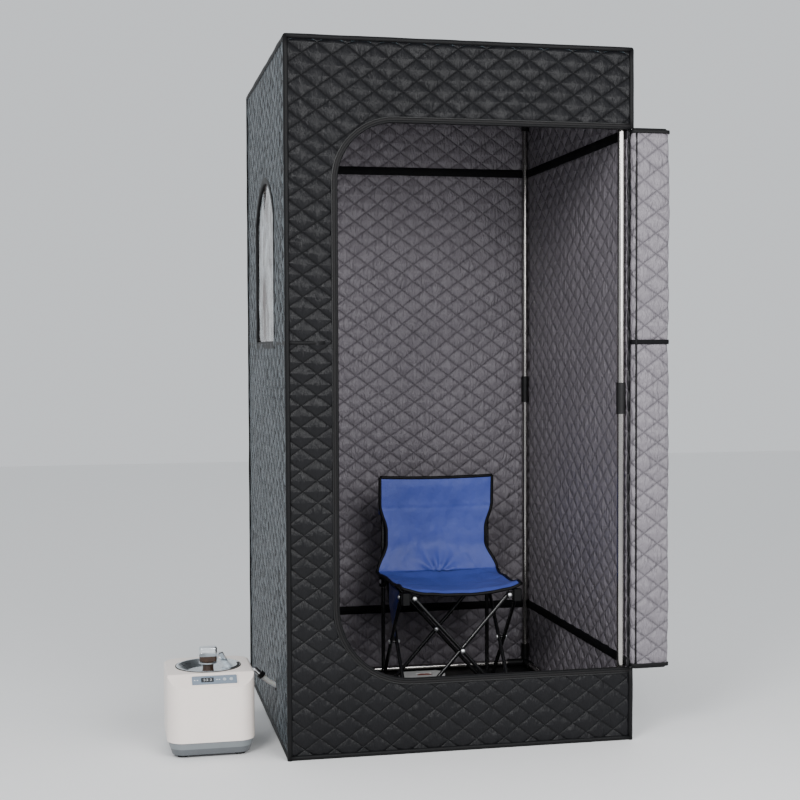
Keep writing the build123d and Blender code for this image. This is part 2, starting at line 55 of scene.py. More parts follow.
# --- Sizes that the frame's nodes don't state by themselves ---
DIAMOND_W, DIAMOND_H = 0.074, 0.054  # one quilted diamond
GRID_U, GRID_V = DIAMOND_W / 8, DIAMOND_H / 6  # mesh steps over it
WALL_T = 0.006
DOORWAY_LEFT, DOORWAY_Z0, DOORWAY_Z1 = -0.325, 0.190, 1.597
DOORWAY_LOW_R, DOORWAY_TOP_R = 0.190, 0.150
DOOR_CLEAR = 0.003
WINDOW_HALF_W = 0.205
WINDOW_Z0, WINDOW_SPRING_Z, WINDOW_TOP_Z = 1.045, 1.385, 1.490
SEAM_Z = 1.045
BAND_ZS = (0.205, 1.586)
BAND_REACH = 0.4425  # from the tent's middle to a webbing band
PIPING_R = 0.0065
FLOOR_PIPING_Z = 0.006
SEWN_STEP = 0.03  # longest straight step of a sewn line
PORT_HOLE_R = 0.014
STRIP_COUNT, STRIP_T = 8, 0.005
HINGE_GAP = 0.0005  # from a door strip's edge to its hinge
ROLL_EDGE_R = 0.0026
CLOTH_T = 0.0022
CLOTH_EDGE_R = 0.0050
BAR_OFFSET = 0.008  # from the middle plane of a chair side to each of its bars
PIVOT_REACH, PIVOT_RISE = 0.1385, 0.154  # from a chair side's crossing to its end pivots
BAR_FACE, CHEEK_FACE = 0.0132, 0.0118  # from that plane to a bar's and a hub cheek's outer face
HOSE_R, HOSE_LENGTH = 0.007, 0.62


def middle(node):
    lo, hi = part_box(node)
    return (lo + hi) / 2


tent_lo, tent_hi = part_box("front_panel")
back_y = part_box("back_panel")[1].y
roof_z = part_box("roof_panel")[1].z
left_x, right_x, front_y = tent_lo.x, tent_hi.x, tent_lo.y

# --- Materials ---


def add_node(tree, kind, **settings):
    node = tree.nodes.new(kind)
    for key, value in settings.items():
        setattr(node, key, value)
    return node


def feed(tree, socket, value):
    """Links a socket or sets a number, colour or vector on it."""
    if isinstance(value, bpy.types.NodeSocket):
        tree.links.new(value, socket)
    else:
        socket.default_value = value


def calc(tree, operation, a, b=0.0, clamp=False):
    node = add_node(tree, "ShaderNodeMath", operation=operation, use_clamp=clamp)
    feed(tree, node.inputs[0], a)
    feed(tree, node.inputs[1], b)
    return node.outputs[0]


def mix_colour(tree, factor, a, b):
    """Mixes two colours, each a socket or three numbers."""
    node = add_node(tree, "ShaderNodeMix", data_type="RGBA")
    feed(tree, node.inputs["Factor"], factor)
    for slot, colour in ((6, a), (7, b)):
        feed(tree, node.inputs[slot], (*colour, 1.0) if isinstance(colour, tuple) else colour)
    return node.outputs[2]


def noise_field(tree, scale, detail=3.0, stretch=(1, 1, 1), rough=0.55):
    """A noise value over the object's own coordinates, in metres."""
    place = add_node(tree, "ShaderNodeTexCoord")
    mapping = add_node(tree, "ShaderNodeMapping")
    mapping.inputs["Scale"].default_value = stretch
    tree.links.new(place.outputs["Object"], mapping.inputs["Vector"])
    field = add_node(tree, "ShaderNodeTexNoise")
    for key, value in (("Scale", scale), ("Detail", detail), ("Roughness", rough)):
        field.inputs[key].default_value = value
    tree.links.new(mapping.outputs["Vector"], field.inputs["Vector"])
    return field.outputs["Fac"]


def bump(tree, height, distance, strength=1.0, after=None):
    node = add_node(tree, "ShaderNodeBump")
    node.inputs["Strength"].default_value = strength
    node.inputs["Distance"].default_value = distance
    tree.links.new(height, node.inputs["Height"])
    if after:
        tree.links.new(after, node.inputs["Normal"])
    return node.outputs["Normal"]


def new_material(name, **sockets):
    material = bpy.data.materials.new(name)
    material.use_nodes = True
    tree = material.node_tree
    shader = tree.nodes["Principled BSDF"]
    for key, value in sockets.items():
        shader.inputs[key.replace("_", " ")].default_value = value
    return material, tree, shader


def dress(tree, shader, colour, rough, normal):
    for key, value in (("Base Color", colour), ("Roughness", rough), ("Normal", normal)):
        feed(tree, shader.inputs[key], value)


def surface(name, dark, light, rough, spread=0.08, grain=400, grain_depth=0.0002, cloud=14, **sockets):
    """A plain surface whose colour and roughness drift a little, with a fine grain."""
    material, tree, shader = new_material(name, **sockets)
    drift = noise_field(tree, cloud, 4)
    roughness = calc(tree, "ADD", calc(tree, "MULTIPLY", drift, spread), rough - spread / 2)
    normal = bump(tree, noise_field(tree, grain, 2), grain_depth)
    dress(tree, shader, mix_colour(tree, drift, dark, light), roughness, normal)
    return material


def quilt(name, dark, light, seam, rough, puff, creases, **sockets):
    """Quilted cloth: diamond seams with stitches, puffs and creases, on UVs in metres. The seam colour is painted
    shade: the cloth darkens towards it in the stitched grooves.
    """
    material, tree, shader = new_material(name, **sockets)
    uv = add_node(tree, "ShaderNodeUVMap")
    parts = add_node(tree, "ShaderNodeSeparateXYZ")
    tree.links.new(uv.outputs["UV"], parts.inputs[0])
    across = calc(tree, "DIVIDE", parts.outputs[0], DIAMOND_W)
    along = calc(tree, "DIVIDE", parts.outputs[1], DIAMOND_H)
    lines = []
    for operation, other in (("ADD", "SUBTRACT"), ("SUBTRACT", "ADD")):
        step = calc(tree, operation, across, along)
        run = calc(tree, other, across, along)
        wave = calc(tree, "ABSOLUTE", calc(tree, "SINE", calc(tree, "MULTIPLY", step, math.pi)))
        dash = calc(tree, "SINE", calc(tree, "MULTIPLY", run, 26 * math.pi))
        lines.append((wave, dash))
    nearest = calc(tree, "MINIMUM", lines[0][0], lines[1][0])
    body = calc(tree, "POWER", nearest, 0.55)
    crease = noise_field(tree, 55, 5, (1.0, 1.0, 0.45), 0.62)
    fold = calc(tree, "SUBTRACT", noise_field(tree, 38, 3, (1.3, 1.3, 0.5), 0.5), 0.5)
    fold = calc(tree, "ABSOLUTE", fold)
    weave = noise_field(tree, 900, 1)
    pull = calc(tree, "MULTIPLY", calc(tree, "SUBTRACT", crease, 0.5), 0.8)
    pull = calc(tree, "ADD", pull, calc(tree, "MULTIPLY", fold, creases))
    height = calc(tree, "ADD", body, pull)
    normal = bump(tree, height, puff)
    normal = bump(tree, weave, 0.0002, 0.6, normal)
    drift = noise_field(tree, 5, 5)
    cloth = mix_colour(tree, drift, dark, light)
    # Painted shade: the colour darkens to the seam colour near the seam lines
    shade = calc(tree, "MULTIPLY", calc(tree, "POWER", nearest, 0.5), 1.6, clamp=True)
    cloth = mix_colour(tree, shade, seam, cloth)
    for wave, dash in lines:
        on_seam = calc(tree, "LESS_THAN", wave, 0.035)
        stitch = calc(tree, "MULTIPLY", on_seam, calc(tree, "GREATER_THAN", dash, -0.2))
        cloth = mix_colour(tree, calc(tree, "MULTIPLY", stitch, 0.5), cloth, light)
    shine = calc(tree, "MULTIPLY", calc(tree, "SUBTRACT", crease, 0.5), 0.35)
    dress(tree, shader, cloth, calc(tree, "ADD", shine, rough), normal)
    return material


def woven(name, dark, light, rough, scale=1400, depth=0.00025, fold=0.0012, fold_scale=26, **sockets):
    """A plain weave with soft folds: webbing, binding, nylon and the mat."""
    material, tree, shader = new_material(name, **sockets)
    place = add_node(tree, "ShaderNodeTexCoord")
    heights = []
    for direction in ("X", "Z"):
        wave = add_node(tree, "ShaderNodeTexWave", bands_direction=direction)
        wave.inputs["Scale"].default_value = scale / 6
        wave.inputs["Distortion"].default_value = 0.6
        tree.links.new(place.outputs["Object"], wave.inputs["Vector"])
        heights.append(wave.outputs["Fac"])
    weave = calc(tree, "MULTIPLY", heights[0], heights[1])
    normal = bump(tree, noise_field(tree, fold_scale, 4), fold)
    normal = bump(tree, weave, depth, 0.5, normal)
    drift = noise_field(tree, 18, 4)
    roughness = calc(tree, "ADD", calc(tree, "MULTIPLY", drift, 0.12), rough - 0.06)
    dress(tree, shader, mix_colour(tree, drift, dark, light), roughness, normal)
    return material


def brushed(name, dark, light, rough, stretch, **sockets):
    """Metal with fine brush lines along one direction."""
    material, tree, shader = new_material(name, Metallic=1.0, **sockets)
    lines = noise_field(tree, 60, 3, stretch)
    roughness = calc(tree, "ADD", calc(tree, "MULTIPLY", lines, 0.14), rough)
    dress(tree, shader, mix_colour(tree, lines, dark, light), roughness, bump(tree, lines, 0.0001, 0.4))
    return material


def film_material():
    """Clear PVC: see-through, glossy and wrinkled, with painted reflection: silvery and dark patches along its
    wrinkles.
    """
    material, tree, shader = new_material(
        "pvc_film", IOR=1.5, Alpha=0.62, Specular_IOR_Level=1.0, Coat_Weight=0.8, Coat_Roughness=0.04
    )
    folds = noise_field(tree, 13, 5, (1, 1, 0.45), 0.6)
    # Painted reflection: the base colour turns silvery or dark along the folds
    painted_fold_glint = calc(tree, "MULTIPLY", calc(tree, "SUBTRACT", folds, 0.42), 5, clamp=True)
    painted_fold_glint = mix_colour(tree, painted_fold_glint, (0.11, 0.085, 0.075), (0.70, 0.76, 0.80))
    dress(tree, shader, painted_fold_glint, calc(tree, "MULTIPLY", folds, 0.3), bump(tree, folds, 0.012))
    return material


def base_material():
    """The generator's base: a lighter upper band over a darker one."""
    material, tree, shader = new_material("base_moulding")
    place = add_node(tree, "ShaderNodeTexCoord")
    parts = add_node(tree, "ShaderNodeSeparateXYZ")
    tree.links.new(place.outputs["Object"], parts.inputs[0])
    upper = calc(tree, "GREATER_THAN", parts.outputs[2], 0.0235)
    drift = noise_field(tree, 20, 3)
    light = mix_colour(tree, drift, (0.16, 0.18, 0.19), (0.2, 0.22, 0.235))
    dark = mix_colour(tree, drift, (0.085, 0.092, 0.1), (0.11, 0.12, 0.13))
    roughness = calc(tree, "ADD", calc(tree, "MULTIPLY", drift, 0.1), 0.35)
    normal = bump(tree, noise_field(tree, 700, 2), 0.0002)
    dress(tree, shader, mix_colour(tree, upper, dark, light), roughness, normal)
    return material


# The third colour of each quilt is the painted shade in its seam grooves
outer_quilt = quilt(
    "outer_quilt", (0.0035, 0.0035, 0.0042), (0.009, 0.009, 0.0105), (0.0016, 0.0015, 0.0018),
    rough=0.36, puff=0.0045, creases=1.6,
    Specular_IOR_Level=0.16, Sheen_Weight=0.14, Sheen_Roughness=0.26, Sheen_Tint=(0.64, 0.85, 1.0, 1.0),
)
lining_quilt = quilt(
    "lining_quilt", (0.138, 0.126, 0.143), (0.212, 0.194, 0.215), (0.094, 0.085, 0.099),
    rough=0.42, puff=0.0055, creases=3.4, Specular_IOR_Level=0.4,
)
binding_cloth = woven(
    "binding_cloth", (0.005, 0.0046, 0.005), (0.011, 0.0105, 0.0108), 0.6, Specular_IOR_Level=0.18
)
piping_cloth = woven(
    "piping_cloth", (0.002, 0.002, 0.0025), (0.005, 0.005, 0.0055), 0.5, Specular_IOR_Level=0.15
)
webbing = woven(
    "webbing", (0.002, 0.002, 0.0025), (0.005, 0.005, 0.006), 0.7, 900, 0.0005, Specular_IOR_Level=0.1
)
mat_cloth = woven(
    "mat_cloth", (0.003, 0.003, 0.0035), (0.008, 0.008, 0.0085), 0.5,
    scale=900, depth=0.0005, fold=0.004, fold_scale=9, Specular_IOR_Level=0.25,
)
blue_nylon = woven(
    "blue_nylon", (0.046, 0.072, 0.300), (0.072, 0.104, 0.400), 0.42,
    scale=1600, depth=0.0002, fold=0.006, fold_scale=13, Specular_IOR_Level=0.3,
)
pouch_nylon = woven(
    "pouch_nylon", (0.012, 0.024, 0.150), (0.026, 0.050, 0.300), 0.4,
    scale=1200, depth=0.0004, fold=0.006, fold_scale=22,
)
window_pvc = film_material()
near_black = (0.004, 0.004, 0.0045), (0.009, 0.009, 0.0095)
black_plastic = surface("black_plastic", *near_black, 0.4, Specular_IOR_Level=0.25)
tube_steel = surface(
    "tube_steel", (0.34, 0.325, 0.31), (0.44, 0.425, 0.41), 0.2, 0.04, 600, 0.00001, Metallic=1.0
)
chair_paint = surface(
    "chair_paint", (0.004, 0.004, 0.0045), (0.008, 0.008, 0.0085), 0.22, Specular_IOR_Level=0.5
)
chair_plastic = surface("chair_plastic", *near_black, 0.45, Specular_IOR_Level=0.15)
rivet_steel = surface(
    "rivet_steel", (0.82, 0.83, 0.85), (0.92, 0.93, 0.94), 0.35, 0.1, 600, 0.00001, Metallic=0.85
)
cream_shell = surface("cream_shell", (0.80, 0.72, 0.665), (0.87, 0.79, 0.735), 0.3, 0.08, 600, 0.0001)
grey_base = base_material()
rubber = surface("rubber", (0.009, 0.009, 0.009), (0.018, 0.018, 0.018), 0.75)
dish_steel = brushed("dish_steel", (0.60, 0.64, 0.67), (0.86, 0.90, 0.93), 0.22, (1, 6, 1))
heater_metal = surface("heater_metal", (0.4, 0.4, 0.4), (0.55, 0.55, 0.55), 0.4, Metallic=0.9)
knob_brown = surface("knob_brown", (0.010, 0.005, 0.003), (0.060, 0.028, 0.014), 0.3, 0.1, 250, 0.0003, 90)
panel_blue = surface("panel_blue", (0.150, 0.190, 0.240), (0.195, 0.240, 0.300), 0.22, Coat_Weight=0.5)
display_black = surface("display_black", (0.010, 0.012, 0.015), (0.016, 0.019, 0.023), 0.08, Coat_Weight=0.6)
mark_white = surface("mark_white", (0.6, 0.62, 0.64), (0.72, 0.74, 0.76), 0.4)
button_grey = surface("button_grey", (0.34, 0.38, 0.42), (0.45, 0.49, 0.53), 0.35)
chrome = brushed("chrome", (0.60, 0.60, 0.61), (0.80, 0.80, 0.81), 0.1, (1, 1, 1))
silicone = surface(
    "silicone", (0.52, 0.53, 0.52), (0.66, 0.67, 0.66), 0.28, Subsurface_Weight=0.15, Coat_Weight=0.3
)
box_white = surface("box_white", (0.62, 0.62, 0.61), (0.70, 0.70, 0.69), 0.32)
herb_brown = surface("herb_brown", (0.120, 0.022, 0.012), (0.260, 0.050, 0.025), 0.8, 0.1, 300, 0.003, 140)
zip_metal = surface("zip_metal", (0.002, 0.002, 0.0022), (0.006, 0.006, 0.0065), 0.4, Specular_IOR_Level=0.3)

# --- Mesh helpers ---


def add_object(name, data):
    obj = bpy.data.objects.new(name, data)
    bpy.context.scene.collection.objects.link(obj)
    return obj


def make(name, verts, faces, materials, body, face_material=None, uv=None, smooth=True):
    """A mesh piece that rides on a body and takes its finish from a slot."""
    mesh = bpy.data.meshes.new(name)
    mesh.from_pydata([tuple(v) for v in verts], [], faces)
    for material in materials:
        mesh.materials.append(material)
    if face_material is not None:
        mesh.polygons.foreach_set("material_index", face_material)
    if uv is not None:
        layer = mesh.uv_layers.new(name="UVMap")
        corner = np.zeros(len(mesh.loops), np.int32)
        mesh.loops.foreach_get("vertex_index", corner)
        layer.data.foreach_set("uv", np.asarray(uv, np.float32)[corner].ravel())
    mesh.polygons.foreach_set("use_smooth", [smooth] * len(mesh.polygons))
    mesh.update()
    obj = add_object(name, mesh)
    if body:
        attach(obj, body)
    return obj


def apply_modifiers(obj):
    graph = bpy.context.evaluated_depsgraph_get()
    mesh = bpy.data.meshes.new_from_object(obj.evaluated_get(graph))
    obj.modifiers.clear()
    obj.data = mesh


def thicken(obj, thickness, offset=0):
    """Turns an open sheet into a closed one."""
    shell = obj.modifiers.new("thick", "SOLIDIFY")
    shell.thickness = thickness
    shell.offset = offset
    apply_modifiers(obj)


def face_outwards(mesh):
    shape = bmesh.new()
    shape.from_mesh(mesh)
    bmesh.ops.recalc_face_normals(shape, faces=shape.faces)
    shape.to_mesh(mesh)
    shape.free()


def ring_faces(rings, count):
    """Quads between successive rings of count points."""
    return [
        (r * count + i, r * count + (i + 1) % count, (r + 1) * count + (i + 1) % count, (r + 1) * count + i)
        for r in range(rings - 1) for i in range(count)
    ]


def end_caps(rings, count):
    """The faces that close the first and the last of such rings."""
    return [tuple(reversed(range(count))), tuple((rings - 1) * count + i for i in range(count))]


def grid_faces(columns, rows):
    """Quads over a grid of points, rows in each column."""
    starts = [i * rows + j for i in range(columns - 1) for j in range(rows - 1)]
    return [(a, a + rows, a + rows + 1, a + 1) for a in starts]


def cut_with(obj, outline, origin, across, up, out, operation):
    """Cuts obj with a prism over a closed outline given on the plane (across, up)."""
    count = len(outline)
    reach = 0.05
    points = [origin + across * u + up * v for u, v in outline]
    verts = [p + out * reach for p in points] + [p - out * reach for p in points]
    faces = [list(range(count)), list(range(2 * count - 1, count - 1, -1))]
    faces += [(i, i + count, (i + 1) % count + count, (i + 1) % count) for i in range(count)]
    cutter_mesh = bpy.data.meshes.new("cutter")
    cutter_mesh.from_pydata([tuple(v) for v in verts], [], faces)
    face_outwards(cutter_mesh)
    cutter = add_object("cutter", cutter_mesh)
    modifier = obj.modifiers.new("cut", "BOOLEAN")
    modifier.operation = operation
    modifier.solver = "EXACT"
    modifier.object = cutter
    apply_modifiers(obj)
    bpy.data.objects.remove(cutter)


def warp(u, v, seed):
    """Quilting coordinates pulled out of line a little, as sewn cloth is."""
    du = [noise.noise(Vector((a * 3.1, b * 3.1, seed))) for a, b in zip(u.flat, v.flat)]
    dv = [noise.noise(Vector((a * 2.6, b * 2.6, seed + 4))) for a, b in zip(u.flat, v.flat)]
    return u + 0.011 * np.reshape(du, u.shape), v + 0.011 * np.reshape(dv, v.shape)


def puff_field(u, v, puff, wrinkle, seed):
    """Quilting height over grids u and v: puffed diamonds between stitched lines, with wrinkles."""
    first = np.abs(np.sin(np.pi * (u / DIAMOND_W + v / DIAMOND_H)))
    second = np.abs(np.sin(np.pi * (u / DIAMOND_W - v / DIAMOND_H)))
    spots = list(zip(u.flat, v.flat))
    full = np.reshape([noise.noise(Vector((a * 7, b * 7, seed))) for a, b in spots], u.shape)
    rough = np.reshape([noise.noise(Vector((a * 34, b * 15, seed))) for a, b in spots], u.shape)
    return np.sqrt(np.minimum(first, second)) * puff * (1 + 0.6 * full) + rough * wrinkle


def slab(name, origin, across, up, out, width, height, thick, body,
         puff=0.0026, wrinkle=0.0016, bow=0.0, u0=0.0, seed=0.0, mats=None, inner_puff=None):
    """A closed quilted sheet: its outer face on the plane at origin, its inner one thick behind."""
    nu, nv = max(2, round(width / GRID_U)), max(2, round(height / GRID_V))
    u, v = np.meshgrid(np.linspace(0, width, nu + 1), np.linspace(0, height, nv + 1), indexing="ij")
    base = np.array(origin) + u[..., None] * np.array(across) + v[..., None] * np.array(up)
    belly = bow * np.sin(np.pi * u / width) * np.sin(np.pi * v / height)
    sewn_u, sewn_v = warp(u + u0, v, seed)
    rise = puff_field(sewn_u, sewn_v, puff, wrinkle, seed) + belly
    fall = puff_field(sewn_u, sewn_v, puff if inner_puff is None else inner_puff, wrinkle, seed + 9) - belly
    normal = np.array(out)
    front = base + rise[..., None] * normal
    back = base - (thick + fall)[..., None] * normal
    verts = np.concatenate([front.reshape(-1, 3), back.reshape(-1, 3)])
    flat_uv = np.stack([sewn_u, sewn_v], -1).reshape(-1, 2)
    uv = np.concatenate([flat_uv, flat_uv])
    row = nv + 1
    half = (nu + 1) * row
    direct = Vector(across).cross(Vector(up)).dot(Vector(out)) > 0
    faces, which = [], []
    for i in range(nu):
        for j in range(nv):
            a, b, c, d = i * row + j, (i + 1) * row + j, (i + 1) * row + j + 1, i * row + j + 1
            ring = (a, b, c, d) if direct else (d, c, b, a)
            faces += [ring, tuple(half + k for k in reversed(ring))]
            which += [0, 1]
    rim = [i * row for i in range(nu + 1)] + [nu * row + j for j in range(1, row)]
    rim += [i * row + nv for i in range(nu - 1, -1, -1)] + [j for j in range(nv - 1, 0, -1)]
    for a, b in zip(rim, rim[1:] + rim[:1]):
        faces.append((b, a, a + half, b + half) if direct else (a, b, b + half, a + half))
        which.append(0)
    return make(name, verts, faces, mats or [outer_quilt, lining_quilt], body, which, uv)


def sweep(name, path, out, section, materials, body, closed=False):
    """A section of (side, height) points swept along a path whose surface faces out."""
    path = [Vector(p) for p in path]
    count, ring = len(path), len(section)
    verts = []
    for i, point in enumerate(path):
        before = path[i - 1] if i or closed else point
        after = path[(i + 1) % count] if i < count - 1 or closed else point
        tangent = (after - before).normalized()
        normal = (out(point) if callable(out) else Vector(out)).normalized()
        side = tangent.cross(normal).normalized()
        stretch = 1.0
        if before != point and after != point:
            bend = (point - before).normalized().dot((after - point).normalized())
            stretch = 1 / max(0.6, math.sqrt((1 + bend) / 2))
        verts += [point + side * s * stretch + normal * h for s, h in section]
    faces = []
    for i in range(count if closed else count - 1):
        j = (i + 1) % count
        for k in range(ring):
            m = (k + 1) % ring
            faces.append((i * ring + k, i * ring + m, j * ring + m, j * ring + k))
    if not closed:
        faces += end_caps(count, ring)
    obj = make(name, verts, faces, materials, body)
    face_outwards(obj.data)
    return obj


def band_section(width, height, sink=0.001):
    """A flat tape's section with rounded shoulders."""
    half = width / 2
    return [(-half, -sink), (-half, height * 0.5), (-half * 0.82, height * 0.9), (0, height),
            (half * 0.82, height * 0.9), (half, height * 0.5), (half, -sink)]


def round_section(radius, sides=10):
    turn = 2 * math.pi / sides
    return [(radius * math.cos(i * turn), radius * math.sin(i * turn)) for i in range(sides)]


def lathe(name, profile, origin, axis, material, body, sides):
    """A profile of (radius, height) turned about an axis."""
    axis = Vector(axis).normalized()
    first = axis.orthogonal().normalized()
    second = axis.cross(first)
    verts = []
    for radius, height in profile:
        for i in range(sides):
            turn = 2 * math.pi * i / sides
            way = first * math.cos(turn) + second * math.sin(turn)
            verts.append(Vector(origin) + axis * height + way * radius)
    rings = len(profile)
    return make(name, verts, ring_faces(rings, sides) + end_caps(rings, sides), [material], body)


def arc(centre, radius, start, stop, steps):
    """Points on an arc in a plane, angles in degrees."""
    turns = [math.radians(start + (stop - start) * i / steps) for i in range(steps + 1)]
    return [(centre[0] + radius * math.cos(t), centre[1] + radius * math.sin(t)) for t in turns]


def rounded(reach_x, reach_y, radius, steps):
    """A rounded rectangle about the origin; reach_x and reach_y go to its corners' centres."""
    corners = ((1, 1, 0), (-1, 1, 90), (-1, -1, 180), (1, -1, 270))
    return [
        point for side_x, side_y, start in corners
        for point in arc((side_x * reach_x, side_y * reach_y), radius, start, start + 90, steps)
    ]


def doorway(inset, right):
    """The doorway's outline from its lower right, round the left, to its upper right, as (x, z)."""
    left, low, top = DOORWAY_LEFT + inset, DOORWAY_Z0 + inset, DOORWAY_Z1 - inset
    low_r, top_r = DOORWAY_LOW_R - inset, DOORWAY_TOP_R - inset
    points = [(right, low)]
    points += arc((left + low_r, low + low_r), low_r, 270, 180, 14)
    points += arc((left + top_r, top - top_r), top_r, 180, 90, 14)
    return points + [(right, top)]


def window(inset):
    """The arched window's outline as (y, z), from its lower left."""
    side = WINDOW_HALF_W - inset
    rise = WINDOW_TOP_Z - inset - WINDOW_SPRING_Z
    radius = (side * side + rise * rise) / (2 * rise)
    reach = math.degrees(math.asin(side / radius))
    top = arc((0, WINDOW_TOP_Z - inset - radius), radius, 90 - reach, 90 + reach, 18)
    return [(-side, WINDOW_Z0 + inset), (side, WINDOW_Z0 + inset)] + top


def spaced(points, gap):
    """The same line with points at most gap apart."""
    out = [Vector(points[0])]
    for a, b in zip(points, points[1:]):
        a, b = Vector(a), Vector(b)
        steps = max(1, math.ceil((b - a).length / gap))
        out += [a.lerp(b, i / steps) for i in range(1, steps + 1)]
    return out


# --- Tent walls ---

wall_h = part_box("back_panel")[1].z
depth = back_y - front_y
width = right_x - left_x

side_w = depth - 2 * WALL_T
side_y = front_y + WALL_T
front, back, left, right, roof = [
    slab(f"{side}_quilt", origin, across, up, out, w, h, WALL_T, "root", bow=bow, seed=seed)
    for side, origin, across, up, out, w, h, bow, seed in (
        ("front", (left_x, front_y, 0), X, Z, -Y, width, wall_h, 0.001, 1),
        ("back", (left_x, back_y, 0), X, Z, Y, width, wall_h, 0.003, 2),
        ("left", (left_x, side_y, 0), Y, Z, -X, side_w, wall_h, 0.003, 3),
        ("right", (right_x, side_y, 0), Y, Z, X, side_w, wall_h, 0.003, 4),
        ("roof", (left_x, front_y, roof_z), X, Y, Z, width, depth, -0.006, 5),
    )
]
cut_with(front, doorway(0, right_x + 0.05), Vector((0, front_y, 0)), X, Z, -Y, "DIFFERENCE")
port_mid = middle("hose_port")
for hole in (window(0), arc((port_mid.y, port_mid.z), PORT_HOLE_R, 0, 345, 23)):
    cut_with(left, hole, Vector((left_x, 0, 0)), Y, Z, -X, "DIFFERENCE")
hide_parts("front_panel")
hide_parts("back_panel")
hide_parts("left_panel")
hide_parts("right_panel")
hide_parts("roof_panel")

mat_lo, mat_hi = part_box("floor_mat")
mat = slab("mat_sheet", (mat_lo.x, mat_lo.y, mat_hi.z), X, Y, Z, mat_hi.x - mat_lo.x, mat_hi.y - mat_lo.y,
           mat_hi.z - mat_lo.z, "root", puff=0.0, wrinkle=0.0012, seed=6,
           mats=[mat_cloth, mat_cloth], inner_puff=0.0)
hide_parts("floor_mat")


def outline_area(points):
    """A closed outline's area."""
    return abs(sum(a * d - b * c for (a, b), (c, d) in zip(points, points[1:] + points[:1]))) / 2


doorway_cut = outline_area(doorway(0, right_x))

# Piping along the tent's edges
edges = [
    (name, (x, y, low), (x, y, high), out) for name, x, y, low, high, out in (
        ("front_left", left_x, front_y, 0, roof_z, -Y - X),
        ("front_right_low", right_x, front_y, 0, DOORWAY_Z0, -Y + X),
        ("front_right_top", right_x, front_y, DOORWAY_Z1, roof_z, -Y + X),
        ("back_left", left_x, back_y, 0, roof_z, Y - X),
        ("back_right", right_x, back_y, 0, roof_z, Y + X),
    )
]
for level, z in (("roof", roof_z), ("floor", FLOOR_PIPING_Z)):
    edges += [
        (f"{level}_front", (left_x, front_y, z), (right_x, front_y, z), Z - Y),
        (f"{level}_back", (left_x, back_y, z), (right_x, back_y, z), Z + Y),
        (f"{level}_left", (left_x, front_y, z), (left_x, back_y, z), Z - X),
        (f"{level}_right", (right_x, front_y, z), (right_x, back_y, z), Z + X),
    ]
for name, a, b, out in edges:
    wavy = [p + out * 0.0008 * noise.noise(p * 14) for p in spaced([a, b], SEWN_STEP)]
    sweep(f"piping_{name}", wavy, out, round_section(PIPING_R), [piping_cloth], "root")

# The flat seam round the outside at half height
seam = band_section(0.010, 0.0035)
for name, a, b, out in (
    ("seam_left", (left_x, front_y, SEAM_Z), (left_x, back_y, SEAM_Z), -X),
    ("seam_right", (right_x, side_y, SEAM_Z), (right_x, back_y, SEAM_Z), X),
    ("seam_back", (left_x, back_y, SEAM_Z), (right_x, back_y, SEAM_Z), Y),
    ("seam_front", (left_x, front_y, SEAM_Z), (DOORWAY_LEFT - 0.03, front_y, SEAM_Z), -Y),
):
    sweep(name, spaced([a, b], SEWN_STEP), out, seam, [piping_cloth], "root")

# The webbing bands inside
reach = BAND_REACH
for tag, z in zip(("low", "high"), BAND_ZS):
    for side, a, b, out in (
        ("back", (-reach, reach, z), (reach, reach, z), -Y),
        ("left", (-reach, -reach, z), (-reach, reach, z), X),
        ("right", (reach, -reach, z), (reach, reach, z), -X),
    ):
        sweep(f"band_{side}_{tag}", spaced([a, b], SEWN_STEP), out, band_section(0.025, 0.0035, 0.004),
              [webbing], "root")

# The doorway's binding outside and inside, its lip, and the zip tape beside it
for name, y, inset, end_x, out, section, material in (
    ("doorway_binding", front_y - 0.001, -0.0064, right_x, -Y, band_section(0.0075, 0.0040, 0.004), binding_cloth),
    ("doorway_facing", front_y + 0.0075, -0.008, right_x - 0.012, Y, band_section(0.020, 0.003, 0.003),
     binding_cloth),
    ("doorway_lip", front_y - 0.002, -0.001, right_x - 0.004, -Y, round_section(0.0040), piping_cloth),
    ("zip_tape", front_y - 0.002, -0.0118, right_x, -Y, round_section(0.0024, 8), zip_metal),
):
    line = spaced([(x, y, z) for x, z in doorway(inset, end_x)], SEWN_STEP)
    sweep(name, line, out, section, [material], "root")

# The window's film and binding
film_u, film_v = 44, 48
verts = []
arch_rise = WINDOW_TOP_Z - WINDOW_SPRING_Z
arch_r = (WINDOW_HALF_W ** 2 + arch_rise ** 2) / (2 * arch_rise)
for y in np.linspace(-WINDOW_HALF_W, WINDOW_HALF_W, film_u + 1):
    top = WINDOW_TOP_Z - arch_r + math.sqrt(arch_r ** 2 - y * y)
    for j in range(film_v + 1):
        z = WINDOW_Z0 + (top - WINDOW_Z0) * j / film_v
        held_in = min(1.0, 14 * min(j / film_v, 1 - j / film_v, (WINDOW_HALF_W - abs(y)) / 0.4))
        wave = 0.7 * noise.noise(Vector((y * 15, z * 4 + y * 7, 3)))
        wave += 0.3 * noise.noise(Vector((y * 34, z * 13, 8)))
        verts.append(Vector((left_x + WALL_T / 2 + 0.012 * wave * held_in, y, z)))
faces = [(f[0], *f[:0:-1]) for f in grid_faces(film_u + 1, film_v + 1)]
film = make("window_sheet", verts, faces, [window_pvc], "root")
thicken(film, 0.0006)
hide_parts("window_film")
frame_line = [Vector((left_x, y, z)) for y, z in window(-0.006)]
for name, x, out in (
    ("window_binding", left_x - 0.001, -X),
    ("window_facing", left_x + WALL_T + 0.001, X),
):
    loop = [Vector((x, p.y, p.z)) for p in spaced(frame_line + frame_line[:1], 0.02)[:-1]]
    sweep(name, loop, out, band_section(0.018, 0.004, 0.005), [piping_cloth], "root", closed=True)

# --- Door ---

